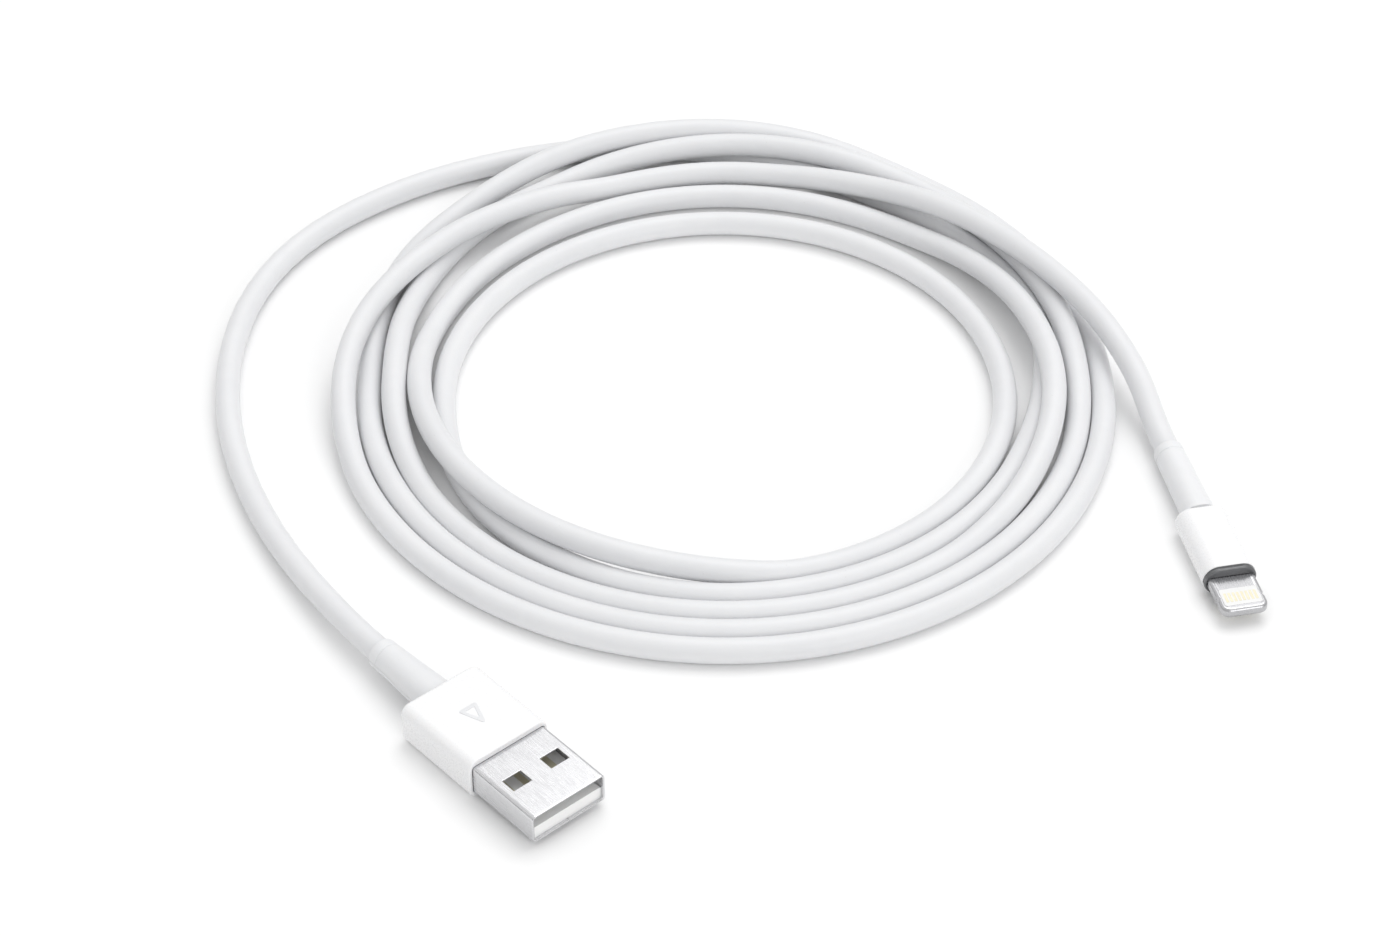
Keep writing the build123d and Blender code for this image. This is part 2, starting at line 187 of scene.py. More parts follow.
class EffectLibrary:
    """Builds each shared effect once and places it in materials."""

    def __init__(self) -> None:
        """Start with no effect built."""
        self.built: dict[Effect, bpy.types.NodeTree] = {}

    def place(self, graph: Graph, effect: Effect, vector: bpy.types.NodeSocket,
              **values: object) -> bpy.types.Node:
        """Place an effect in a material.

        Args:
            graph: the material's graph.
            effect: which effect.
            vector: the coordinates that it reads.
            values: the group's other inputs.
        Returns:
            The group's node, with its outputs.
        """
        if effect not in self.built:
            maker = {
                Effect.MOTTLE: self._mottle,
                Effect.FINE_GRAIN: self._fine_grain,
                Effect.BRUSHED: self._brushed,
                Effect.DUST: self._dust,
            }[effect]
            self.built[effect] = maker()
        node = graph.add("ShaderNodeGroup", node_tree=self.built[effect])
        return graph.feed(node, Vector=vector, **values)

    @staticmethod
    def _group(effect: Effect, inputs: dict[str, tuple[str, object]],
               outputs: dict[str, str]) -> tuple[Graph, bpy.types.bpy_prop_collection,
                                                 bpy.types.Node]:
        """An empty group with its sockets.

        Args:
            effect: the effect, whose value names the group.
            inputs: each input's socket kind and first value.
            outputs: each output's socket kind.
        Returns:
            The group's graph, what it is given, by name, and its output node.
        """
        tree = bpy.data.node_groups.new(effect.value, "ShaderNodeTree")
        for name, (kind, value) in inputs.items():
            socket = tree.interface.new_socket(name, in_out="INPUT", socket_type=kind)
            if value is not None:
                socket.default_value = value
        for name, kind in outputs.items():
            tree.interface.new_socket(name, in_out="OUTPUT", socket_type=kind)
        graph = Graph(tree)
        return graph, graph.add("NodeGroupInput").outputs, graph.add("NodeGroupOutput")

    def _mottle(self) -> bpy.types.NodeTree:
        """Broad, faint changes of tone: two sizes of noise between a base and a shade."""
        g, given, out = self._group(
            Effect.MOTTLE,
            {"Vector": ("NodeSocketVector", None), "Base": ("NodeSocketColor", None),
             "Shade": ("NodeSocketColor", None), "Scale": ("NodeSocketFloat", 60.0),
             "Amount": ("NodeSocketFloat", 0.5)},
            {"Color": "NodeSocketColor", "Mask": "NodeSocketFloat"})
        broad = g.noise(given["Vector"], given["Scale"], 3.0)
        fine_scale = g.math("MULTIPLY", given["Scale"], 9.0)
        fine = g.noise(given["Vector"], fine_scale, 2.0)
        both = g.math("ADD", g.math("MULTIPLY", broad, 0.7), g.math("MULTIPLY", fine, 0.3))
        mask = g.math("MULTIPLY", g.spread(both, 0.38, 0.66), given["Amount"], clamp=True)
        g.feed(out, Color=g.blend(mask, given["Base"], given["Shade"]), Mask=mask)
        return g.tree

    def _fine_grain(self) -> bpy.types.NodeTree:
        """The close grain of a moulded or extruded skin: fine noise with sparse pits."""
        g, given, out = self._group(
            Effect.FINE_GRAIN,
            {"Vector": ("NodeSocketVector", None), "Scale": ("NodeSocketFloat", 5000.0),
             "Pits": ("NodeSocketFloat", 0.3)},
            {"Height": "NodeSocketFloat", "Mask": "NodeSocketFloat"})
        grain = g.noise(given["Vector"], given["Scale"], 3.0, 0.6)
        cells = g.add("ShaderNodeTexVoronoi", feature="F1")
        cell_scale = g.math("MULTIPLY", given["Scale"], 0.55)
        g.feed(cells, Vector=given["Vector"], Scale=cell_scale)
        pits = g.spread(cells.outputs["Distance"], 0.0, 0.5)
        weighed = g.math("MULTIPLY", pits, given["Pits"])
        g.feed(out, Height=g.math("ADD", grain, weighed), Mask=g.spread(grain, 0.35, 0.65))
        return g.tree

    def _brushed(self) -> bpy.types.NodeTree:
        """Metal grain drawn out along the first axis, with a few longer hairlines."""
        g, given, out = self._group(
            Effect.BRUSHED,
            {"Vector": ("NodeSocketVector", None), "Scale": ("NodeSocketFloat", 9000.0),
             "Stretch": ("NodeSocketFloat", 0.04)},
            {"Height": "NodeSocketFloat", "Mask": "NodeSocketFloat"})
        parts = g.add("ShaderNodeSeparateXYZ")
        g.feed(parts, Vector=given["Vector"])
        drawn = g.add("ShaderNodeCombineXYZ")
        g.feed(drawn, X=g.math("MULTIPLY", parts.outputs["X"], given["Stretch"]),
               Y=parts.outputs["Y"], Z=parts.outputs["Z"])
        grain = g.noise(drawn.outputs[0], given["Scale"], 3.0, 0.65)
        hair_scale = g.math("MULTIPLY", given["Scale"], 0.21)
        hairs = g.noise(drawn.outputs[0], hair_scale, 5.0, 0.8)
        lines = g.math("MULTIPLY", g.spread(hairs, 0.60, 0.70), 0.5)
        g.feed(out, Height=g.math("SUBTRACT", grain, lines), Mask=g.spread(grain, 0.3, 0.7))
        return g.tree

    def _dust(self) -> bpy.types.NodeTree:
        """Tiny sparse specks: the nearest points of a scattered pattern, thinned by noise."""
        g, given, out = self._group(
            Effect.DUST,
            {"Vector": ("NodeSocketVector", None), "Scale": ("NodeSocketFloat", 900.0),
             "Amount": ("NodeSocketFloat", 0.5)},
            {"Mask": "NodeSocketFloat"})
        cells = g.add("ShaderNodeTexVoronoi", feature="F1")
        g.feed(cells, Vector=given["Vector"], Scale=given["Scale"])
        specks = g.spread(cells.outputs["Distance"], 0.10, 0.05)
        patches = g.spread(g.noise(given["Vector"], 160.0, 2.0), 0.5, 0.6)
        thinned = g.math("MULTIPLY", specks, patches)
        g.feed(out, Mask=g.math("MULTIPLY", thinned, given["Amount"]))
        return g.tree


# ---------------------------------------------------------------- finishes


DUST_COLOUR: Colour = (0.30, 0.29, 0.27)
SCATTER_RADIUS: Colour = (1.0, 0.9, 0.8)
SCATTER_SCALE = 0.6 * MM


@dataclass(frozen=True)
class Finish:
    """A procedural finish: a mottled colour, a grain that feeds bump and roughness, and dust."""

    name: str
    colour: Colour
    shade: Colour
    mottle_scale: float = 90.0
    mottle_amount: float = 0.6
    roughness: float = 0.4
    roughness_swing: float = 0.08
    grain_scale: float = 5000.0
    grain_pits: float = 0.3
    grain_depth: float = 0.00001
    metallic: float = 0.0
    specular: float = 0.5
    coat: float = 0.0
    coat_roughness: float = 0.2
    subsurface: float = 0.0
    brushed: bool = False
    turn: float = 0.0
    dust: float = 0.0

    def material(self, effects: EffectLibrary) -> bpy.types.Material:
        """Build the finish as a material.

        Args:
            effects: the shared effect groups.
        Returns:
            The new material.
        """
        made = bpy.data.materials.new(self.name)
        made.use_nodes = True
        graph = Graph(made.node_tree)
        shader = made.node_tree.nodes["Principled BSDF"]
        place = graph.add("ShaderNodeTexCoord").outputs["Object"]
        turned = graph.add("ShaderNodeMapping")
        graph.feed(turned, Vector=place, Rotation=(0.0, 0.0, -self.turn))
        place = turned.outputs["Vector"]

        tone = effects.place(graph, Effect.MOTTLE, place, Base=rgba(self.colour),
                             Shade=rgba(self.shade), Scale=self.mottle_scale,
                             Amount=self.mottle_amount)
        colour = tone.outputs["Color"]
        if self.brushed:
            grain = effects.place(graph, Effect.BRUSHED, place, Scale=self.grain_scale)
        else:
            grain = effects.place(graph, Effect.FINE_GRAIN, place, Scale=self.grain_scale,
                                  Pits=self.grain_pits)
        if self.dust > 0.0:
            specks = effects.place(graph, Effect.DUST, place, Amount=self.dust)
            colour = graph.blend(specks.outputs["Mask"], colour, rgba(DUST_COLOUR))
        rough = graph.spread(grain.outputs["Mask"], 0.0, 1.0, self.roughness - self.roughness_swing,
                             self.roughness + self.roughness_swing)
        bump = graph.add("ShaderNodeBump")
        graph.feed(bump, Height=grain.outputs["Height"], Distance=self.grain_depth, Strength=1.0)
        graph.feed(shader, Base_Color=colour, Roughness=rough, Normal=bump.outputs["Normal"],
                   Metallic=self.metallic, Specular_IOR_Level=self.specular,
                   Coat_Weight=self.coat, Coat_Roughness=self.coat_roughness,
                   Subsurface_Weight=self.subsurface)
        if self.subsurface > 0.0:
            graph.feed(shader, Subsurface_Radius=SCATTER_RADIUS, Subsurface_Scale=SCATTER_SCALE)
        return made


# The plugs' headings, which brushed grain runs along.
HOST_TURN = math.radians(-48.5)
DEVICE_TURN = math.radians(-78.1)

FINISHES: dict[str, Finish] = {finish.name: finish for finish in (
    Finish("cord_jacket", (0.760, 0.764, 0.776), (0.715, 0.720, 0.735), mottle_scale=45.0,
           mottle_amount=0.5, roughness=0.44, grain_scale=4200.0, grain_depth=0.000012,
           subsurface=0.10, dust=0.15),
    Finish("host_mouldings", (0.880, 0.880, 0.885), (0.850, 0.850, 0.856), mottle_scale=60.0,
           mottle_amount=0.5, roughness=0.33, grain_scale=5200.0, grain_depth=0.000006,
           subsurface=0.12, dust=0.08),
    Finish("device_mouldings", (0.880, 0.880, 0.885), (0.850, 0.850, 0.856), mottle_scale=60.0,
           mottle_amount=0.5, roughness=0.31, grain_scale=5200.0, grain_depth=0.000006,
           subsurface=0.12, dust=0.08),
    Finish("strain_relief_rubber", (0.785, 0.789, 0.800), (0.740, 0.746, 0.760),
           mottle_scale=80.0, roughness=0.47, grain_scale=4600.0, grain_depth=0.000010,
           subsurface=0.12, dust=0.12),
    Finish("plated_shell", (0.690, 0.690, 0.702), (0.640, 0.640, 0.654), mottle_scale=130.0,
           roughness=0.24, roughness_swing=0.05, grain_scale=8000.0, grain_depth=0.0000025,
           metallic=1.0, brushed=True, turn=HOST_TURN),
    Finish("carrier_plastic", (0.900, 0.900, 0.895), (0.860, 0.860, 0.855), roughness=0.5,
           grain_depth=0.000006, subsurface=0.1),
    Finish("gold_contacts", (0.780, 0.735, 0.560), (0.730, 0.675, 0.490), mottle_scale=400.0,
           roughness=0.42, grain_scale=9000.0, grain_depth=0.000002, metallic=0.4, brushed=True,
           turn=HOST_TURN),
    Finish("contact_block_plastic", (0.840, 0.840, 0.835), (0.790, 0.790, 0.785),
           roughness=0.42, grain_depth=0.000005),
    Finish("tab_steel", (0.520, 0.520, 0.532), (0.470, 0.470, 0.484), mottle_scale=200.0,
           roughness=0.28, roughness_swing=0.05, grain_scale=8000.0, grain_depth=0.0000025,
           metallic=1.0, brushed=True, turn=DEVICE_TURN),
    Finish("face_plate_metal", (0.185, 0.187, 0.192), (0.150, 0.152, 0.157), mottle_scale=250.0,
           roughness=0.36, grain_scale=9000.0, grain_depth=0.000004, metallic=0.85),
    Finish("inner_shield_steel", (0.62, 0.62, 0.63), (0.50, 0.50, 0.52), roughness=0.35,
           grain_depth=0.000004, metallic=1.0, brushed=True, turn=HOST_TURN),
    Finish("crimp_metal", (0.68, 0.68, 0.69), (0.55, 0.55, 0.57), roughness=0.4,
           grain_depth=0.000005, metallic=1.0),
    Finish("inner_mould_plastic", (0.74, 0.73, 0.69), (0.66, 0.65, 0.61), roughness=0.5,
           subsurface=0.2),
    Finish("circuit_board", (0.02, 0.14, 0.06), (0.015, 0.10, 0.045), mottle_scale=500.0,
           roughness=0.3, coat=0.4),
    Finish("chip_black", (0.012, 0.012, 0.013), (0.02, 0.02, 0.021), roughness=0.55,
           grain_depth=0.000008),
    Finish("passive_ceramic", (0.36, 0.25, 0.15), (0.28, 0.19, 0.11), roughness=0.4),
    Finish("wire_red", (0.50, 0.02, 0.015), (0.42, 0.015, 0.012), roughness=0.4),
    Finish("wire_white", (0.78, 0.78, 0.76), (0.70, 0.70, 0.68), roughness=0.4),
    Finish("wire_green", (0.02, 0.24, 0.06), (0.015, 0.19, 0.045), roughness=0.4),
    Finish("wire_black", (0.012, 0.012, 0.012), (0.02, 0.02, 0.02), roughness=0.4),
)}


class Paints:
    """Makes each finish once, and puts it on pieces."""

    def __init__(self) -> None:
        """Start with no material made."""
        self.effects = EffectLibrary()
        self.made: dict[str, bpy.types.Material] = {}

    def get(self, slot: str) -> bpy.types.Material:
        """The material for a record's slot, made when first asked for."""
        if slot not in self.made:
            self.made[slot] = FINISHES[slot].material(self.effects)
        return self.made[slot]

    def dress(self, piece: bpy.types.Object, slot: str) -> None:
        """Give all of a piece one finish."""
        piece.data.materials.clear()
        piece.data.materials.append(self.get(slot))


# ---------------------------------------------------------------- surfaces


QUARTER = math.pi / 2
LEAST_CORNER = 0.05  # mm, the smallest corner radius that an inset section keeps
FINE_STEPS = 10  # the steps of a large rounded edge
SHARP = math.radians(38)  # edges that turn by more than this are rounded
NEARLY_FLAT = math.radians(2)  # faces that differ by less than this become one
MERGE = 0.002 * MM  # points closer than this become one


@dataclass(frozen=True)
class Pose:
    """Where a plug lies: the tip of its metal, and the heading that the tip points along."""

    tip: Point
    heading: float

    @classmethod
    def from_mount(cls, record: dict, name: str) -> "Pose":
        """The pose that a mount in the record gives: its place, and the way that its axis points."""
        mount = next(m for m in record["mounts"] if m["name"] == name)
        return cls(tuple(mount["pos_m"]), math.atan2(mount["axis"][1], mount["axis"][0]))

    def placed(self, local: np.ndarray) -> np.ndarray:
        """Turn and move points from a plug's axes to the frame's.

        Args:
            local: points in millimetres, with x towards the tip, y to its left and z up.
        Returns:
            The same points in metres, in the frame.
        """
        x, y, z = np.moveaxis(local * MM, -1, 0)
        c, s = math.cos(self.heading), math.sin(self.heading)
        return np.stack([self.tip[0] + x * c - y * s, self.tip[1] + x * s + y * c,
                         self.tip[2] + z], axis=-1)


def loft(stations: Sequence[Sequence[float]], arc_steps: int = 10) -> np.ndarray:
    """Rings of rounded rectangles along a plug.

    Each ring is four quarter arcs joined by straight lines: a corner's centre stands in from the
    sides by the corner radius, and the arc's angle runs over its own quarter of the turn.

    Args:
        stations: one row for each ring, of x, width, height and corner radius.
        arc_steps: the steps of each quarter arc.
    Returns:
        An array of rings by points by three.
    """
    x, width, height, corner = (column[:, None] for column in np.array(stations, float).T)
    corner = np.minimum(corner, np.minimum(width, height) / 2)
    quarter = np.linspace(0.0, QUARTER, arc_steps + 1)
    turn = (quarter[None] + np.arange(4)[:, None] * QUARTER).ravel()
    side = np.repeat([1.0, -1.0, -1.0, 1.0], arc_steps + 1)
    upper = np.repeat([1.0, 1.0, -1.0, -1.0], arc_steps + 1)
    y = side * (width / 2 - corner) + corner * np.cos(turn)
    z = upper * (height / 2 - corner) + corner * np.sin(turn)
    return np.stack([np.broadcast_to(x, y.shape), y, z], axis=-1)


def rounding(x: float, width: float, height: float, corner: float, radius: float,
             towards: float, steps: int = 6) -> list[tuple[float, float, float, float]]:
    """The stations that round the edge of a section's end.

    They follow a quarter circle: from the full section, a radius short of the end at x, to a
    section smaller all round by the radius, at x.

    Args:
        x: where the end is.
        width: the full section's width.
        height: the full section's height.
        corner: the full section's corner radius.
        radius: the radius of the rounded edge.
        towards: 1 where the end faces the tip, and -1 where it faces the cord.
        steps: the steps of the quarter circle.
    Returns:
        Stations in order from the full section to the end.
    """
    angle = np.linspace(0.0, QUARTER, steps + 1)
    inset = radius * (1.0 - np.cos(angle))
    place = x - towards * radius * (1.0 - np.sin(angle))
    return list(zip(place, width - 2 * inset, height - 2 * inset,
                    np.maximum(corner - inset, LEAST_CORNER)))


def skin(rings: np.ndarray, wrap: bool = False) -> list[list[int]]:
    """Four-sided faces between neighbouring rings.

    Args:
        rings: an array of rings by points by three.
        wrap: whether the last ring joins the first.
    Returns:
        Faces as lists of point numbers, facing outwards where the rings run from tip to cord.
    """
    index = np.arange(rings.shape[0] * rings.shape[1]).reshape(rings.shape[:2])
    if wrap:
        index = np.vstack([index, index[:1]])
    right = np.roll(index, -1, axis=1)
    quads = np.stack([index[:-1], index[1:], right[1:], right[:-1]], axis=-1)
    return quads.reshape(-1, 4).tolist()


def capped(rings: np.ndarray) -> list[list[int]]:
    """The faces between rings, with the first and last rings closed by flat faces."""
    rows, across = rings.shape[:2]
    first = list(range(across))
    last = [(rows - 1) * across + i for i in reversed(range(across))]
    return skin(rings) + [first, last]


class Builder:
    """Makes pieces from surfaces and puts them on the frame."""

    def __init__(self, paints: Paints) -> None:
        """Keep the finishes that pieces are given."""
        self.paints = paints

    def piece(self, name: str, points: np.ndarray, faces: list[list[int]], slot: str,
              stands_for: Sequence[str] = (), bevel: float = 0.0,
              wall: float = 0.0) -> bpy.types.Object:
        """Make one piece.

        Args:
            name: the piece's name.
            points: its points in metres, in the frame.
            faces: its faces.
            slot: the record's material slot that it takes.
            stands_for: the CAD nodes that it replaces.
            bevel: the width of the small round on its sharp edges, in metres.
            wall: the thickness that a single sheet gets inwards, in metres.
        Returns:
            The new object.
        """
        mesh = bpy.data.meshes.new(name)
        mesh.from_pydata(points.reshape(-1, 3).tolist(), [], faces)
        mesh.validate()
        return self._enter(mesh, slot, stands_for, bevel, wall)

    def _enter(self, mesh: bpy.types.Mesh, slot: str, stands_for: Sequence[str], bevel: float,
               wall: float = 0.0) -> bpy.types.Object:
        """Put a mesh on the frame as a piece, with its wall, its edges and its finish.

        Args:
            mesh: the mesh, whose name the piece takes.
            slot: the record's material slot that it takes.
            stands_for: the CAD nodes that it replaces.
            bevel: the width of the small round on its sharp edges, in metres.
            wall: the thickness that a single sheet gets inwards, in metres.
        Returns:
            The new object.
        """
        mesh.shade_smooth()
        made = bpy.data.objects.new(mesh.name, mesh)
        bpy.context.scene.collection.objects.link(made)
        if wall > 0.0:
            solid = made.modifiers.new("wall", "SOLIDIFY")
            solid.thickness = wall
            solid.offset = -1.0
            solid.use_even_offset = True
        if bevel > 0.0:
            edge = made.modifiers.new("edges", "BEVEL")
            edge.width = bevel
            edge.segments = 3
            edge.limit_method = "ANGLE"
            edge.angle_limit = SHARP
            edge.use_clamp_overlap = True
        weigh = made.modifiers.new("shading", "WEIGHTED_NORMAL")
        weigh.keep_sharp = True
        self.paints.dress(made, slot)
        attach(made, BODY)
        if stands_for:
            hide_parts(*stands_for)
        LOG.info("%s: %d points", made.name, len(mesh.vertices))
        return made

    def refined(self, node: str, source: bpy.types.Object, slot: str,
                bevel: float) -> bpy.types.Object:
        """Replace a CAD node by a copy with clean flat faces and softened edges.

        Args:
            node: the CAD node's name.
            source: the CAD node's object.
            slot: the record's material slot.
            bevel: the width of the small round on its sharp edges, in metres.
        Returns:
            The new object.
        """
        mesh = source.data.copy()
        mesh.name = node + "_fine"
        work = bmesh.new()
        work.from_mesh(mesh)
        bmesh.ops.remove_doubles(work, verts=work.verts, dist=MERGE)
        bmesh.ops.dissolve_limit(work, angle_limit=NEARLY_FLAT, verts=work.verts,
                                 edges=work.edges)
        work.to_mesh(mesh)
        work.free()
        return self._enter(mesh, slot, [node], bevel)


# ---------------------------------------------------------------- strain reliefs


@dataclass
class StrainRelief:
    """A soft tapered boot: an oval where it leaves the plug and round where it holds the cord."""

    name: str
    node: str
    start: float
    length: float
    width: float
    height: float
    cord_radius: float = 1.8
    tip_wall: float = 0.4
    sunk: float = 0.12
    flare: float = 1.25
    tip_round: float = 0.3
    groove_from_end: float = 1.6
    groove_width: float = 0.26
    groove_depth: float = 0.13
    groove_spread: float = 0.42
    sleeve_gap: float = 0.01
    sleeve_lip: float = 0.05
    sleeve_lip_depth: float = 0.06
    sleeve_depth: float = 0.7
    rings: int = 36
    groove_rings: int = 13
    arc_steps: int = 14

    def build(self, builder: Builder, pose: Pose) -> bpy.types.Object:
        """Make the boot.

        Its width and height fall from the plug's end to the tip's by a power of the distance
        left, less the ring cut near the tip, which is a smooth dip. The end is rounded and turns
        in to a short sleeve round the cord.

        Args:
            builder: makes the piece.
            pose: where the plug lies.
        Returns:
            The boot.
        """
        tip = 2 * (self.cord_radius + self.tip_wall)
        body = self.length - self.tip_round
        far = np.unique(np.concatenate([
            np.linspace(-self.sunk, body, self.rings),
            self.length - self.groove_from_end
            + self.groove_width * np.linspace(-1, 1, self.groove_rings)]))
        left = np.clip(1.0 - far / self.length, 0.0, 1.0) ** self.flare
        from_groove = far - self.length + self.groove_from_end
        cut = 2 * self.groove_depth * np.exp(
            -(from_groove / (self.groove_spread * self.groove_width))**2)
        width = tip + (self.width - tip) * left - cut
        height = tip + (self.height - tip) * left - cut
        corner = 0.5 * np.minimum(width, height)
        rows = list(zip(-(self.start + far), width, height, corner))
        end = -(self.start + self.length)
        rows += rounding(end, rows[-1][1], rows[-1][2], rows[-1][3], self.tip_round, -1.0)[1:]
        sleeve = 2 * (self.cord_radius + self.sleeve_gap)
        lip = sleeve + self.sleeve_lip
        rows += [(end, lip, lip, sleeve / 2),
                 (end + self.sleeve_lip_depth, sleeve, sleeve, sleeve / 2),
                 (end + self.sleeve_depth, sleeve, sleeve, sleeve / 2)]
        rings = loft(rows, self.arc_steps)
        return builder.piece(self.name, pose.placed(rings), capped(rings),
                             "strain_relief_rubber", [self.node])


# ---------------------------------------------------------------- host plug


@dataclass
class HostPlug:
    """The rectangular plug: white cover, plated shell with two pairs of windows, and boot."""

    shell_width: float = 12.0
    shell_height: float = 4.5
    shell_corner: float = 0.6
    shell_wall: float = 0.3
    shell_length: float = 18.75
    exposed: float = 12.1
    window_length: float = 2.4
    window_width: float = 3.0
    window_spacing: float = 6.2
    window_from_mouth: float = 6.6
    seam_gap: float = 0.05
    mouth_inset: tuple[tuple[float, float], ...] = ((0.0, 0.07), (0.12, 0.02), (0.3, 0.0))
    sheet_edge: float = 0.07
    cover_width: float = 13.1
    cover_height: float = 6.3
    cover_length: float = 14.6
    cover_corner: float = 1.5
    front_round: float = 0.22
    back_round: float = 0.8
    boot_length: float = 12.5
    boot_width: float = 5.7
    boot_height: float = 5.0
    joint_gap: float = 0.03
    joint_depth: float = 0.1
    pocket_gap: float = 0.05
    lip: float = 0.05
    carrier_edge: float = 0.06
    arrow_outer: Point = (2.05, 1.45, 0.30)
    arrow_inner: Point = (1.15, 0.85, 0.12)
    arrow_corners: Point = (0.0, 132.0, 228.0)
    arrow_raised: float = 0.06
    arrow_sunk: float = 0.05
    arrow_edge: float = 0.01
    arc_steps: int = 12

    def build(self, builder: Builder, frame: dict) -> None:
        """Make the plug's visible pieces."""
        pose = Pose.from_mount(frame["record"], "host_plug_mouth")
        self._cover(builder, pose)
        self._shell(builder, pose)
        self._arrow(builder, pose)
        back = self.exposed + self.cover_length
        StrainRelief("host_boot", "host_strain_relief", back, self.boot_length, self.boot_width,
                     self.boot_height).build(builder, pose)
        builder.refined("host_contact_carrier", frame["nodes"]["host_contact_carrier"],
                        "carrier_plastic", self.carrier_edge * MM)

    def _cover(self, builder: Builder, pose: Pose) -> bpy.types.Object:
        """The moulded cover: a pocket for the shell, rounded ends, and a fine joint to the boot."""
        w, h, c = self.cover_width, self.cover_height, self.cover_corner
        front, back = -self.exposed, -(self.exposed + self.cover_length)
        hole_w, hole_h = (side + 2 * self.pocket_gap
                          for side in (self.shell_width, self.shell_height))
        joint_w, joint_h = (side + 2 * self.joint_gap
                            for side in (self.boot_width, self.boot_height))
        lip = self.lip
        rows = [(-self.shell_length, hole_w, hole_h, self.shell_corner),
                (front - lip, hole_w, hole_h, self.shell_corner),
                (front, hole_w + 2 * lip, hole_h + 2 * lip, self.shell_corner + lip)]
        rows += reversed(rounding(front, w, h, c, self.front_round, 1.0))
        rows += rounding(back, w, h, c, self.back_round, -1.0, FINE_STEPS)
        rows += [(back, joint_w + 2 * lip, joint_h + 2 * lip, joint_h / 2),
                 (back + lip, joint_w, joint_h, joint_h / 2),
                 (back + self.joint_depth, joint_w, joint_h, joint_h / 2)]
        rings = loft(rows, self.arc_steps)
        return builder.piece("host_cover_moulding", pose.placed(rings), capped(rings),
                             "host_mouldings", ["host_cover"])

    def _shell(self, builder: Builder, pose: Pose) -> bpy.types.Object:
        """The folded metal shell, with its four windows and the slit where its edges meet below.

        One sheet is wrapped round the rounded rectangle, with extra lines of points at the
        windows' edges and beside the slit. The faces there are left out, and the sheet then gets
        its thickness inwards. Its front edge turns in a little, as mouth_inset gives: how far
        behind the mouth, and how far in.
        """
        half_gap, half_window = self.seam_gap / 2, self.window_width / 2
        inner = self.window_spacing / 2 - half_window
        outer = self.window_spacing / 2 + half_window
        arc = np.linspace(0.0, QUARTER, 9)
        flat_w = self.shell_width / 2 - self.shell_corner
        flat_h = self.shell_height / 2 - self.shell_corner
        r = self.shell_corner
        top = np.array([outer, inner, -inner, -outer])
        low = np.array([-outer, -inner, -half_gap, half_gap, inner, outer])
        y = np.concatenate([flat_w + r * np.cos(arc), top, -flat_w - r * np.sin(arc),
                            -flat_w - r * np.cos(arc), low, flat_w + r * np.sin(arc)])
        z = np.concatenate([flat_h + r * np.sin(arc), np.full(len(top), flat_h + r),
                            flat_h + r * np.cos(arc), -flat_h - r * np.sin(arc),
                            np.full(len(low), -flat_h - r), -flat_h - r * np.cos(arc)])
        near = self.window_from_mouth - self.window_length / 2
        far = self.window_from_mouth + self.window_length / 2
        straight = [(place, 0.0) for place in (near, far, self.exposed, self.shell_length)]
        x, inset = np.hsplit(np.array([*self.mouth_inset, *straight]), 2)
        rings = np.stack([np.broadcast_to(-x, (len(x), len(y))),
                          y * (1 - inset / (self.shell_width / 2)),
                          z * (1 - inset / (self.shell_height / 2))], axis=-1)
        quads = np.array(skin(rings)).reshape(len(x) - 1, len(y), 4)
        middle = (y + np.roll(y, -1)) / 2
        flat = np.isclose(np.abs(z), flat_h + r) & np.isclose(z, np.roll(z, -1))
        window = flat & (np.abs(middle) > inner) & (np.abs(middle) < outer)
        seam = flat & (z < 0) & (np.abs(middle) < half_gap / 2)
        keep = np.ones(quads.shape[:2], bool)
        keep[len(self.mouth_inset), window] = False
        keep[:, seam] = False
        return builder.piece("host_shell_folded", pose.placed(rings), quads[keep].tolist(),
                             "plated_shell", ["host_shell"], bevel=self.sheet_edge * MM,
                             wall=self.shell_wall * MM)

    def _arrow(self, builder: Builder, pose: Pose) -> bpy.types.Object:
        """A small plain triangle on the cover that points to the mouth, as a thin raised outline.

        Its outline is three arcs, one round each corner, and the inner edge is the same shape
        nearer the middle. Each outline is given by how far its front corner and its two back
        ones stand from the middle, and by their radius.
        """
        arc = np.linspace(-math.pi / 3, math.pi / 3, 7)
        corners = np.radians(self.arrow_corners)
        turn = corners[:, None] + arc[None]
        middle = -(self.exposed + 0.5 * self.cover_length)
        top = self.cover_height / 2

        def loop(outline: Point, z: float) -> np.ndarray:
            """One outline at one height."""
            tip, tail, round_ = outline
            reach = np.array([tip, tail, tail])[:, None]
            x = middle + reach * np.cos(corners)[:, None] + round_ * np.cos(turn)
            y = reach * np.sin(corners)[:, None] + round_ * np.sin(turn)
            return np.stack([x.ravel(), y.ravel(), np.full(x.size, z)], axis=-1)

        raised, sunk = top + self.arrow_raised, top - self.arrow_sunk
        rings = np.stack([loop(self.arrow_outer, sunk), loop(self.arrow_outer, raised),
                          loop(self.arrow_inner, raised), loop(self.arrow_inner, sunk)])
        faces = [face[::-1] for face in skin(rings, wrap=True)]
        return builder.piece("host_direction_arrow", pose.placed(rings), faces,
                             "strain_relief_rubber", bevel=self.arrow_edge * MM)


# ---------------------------------------------------------------- device plug


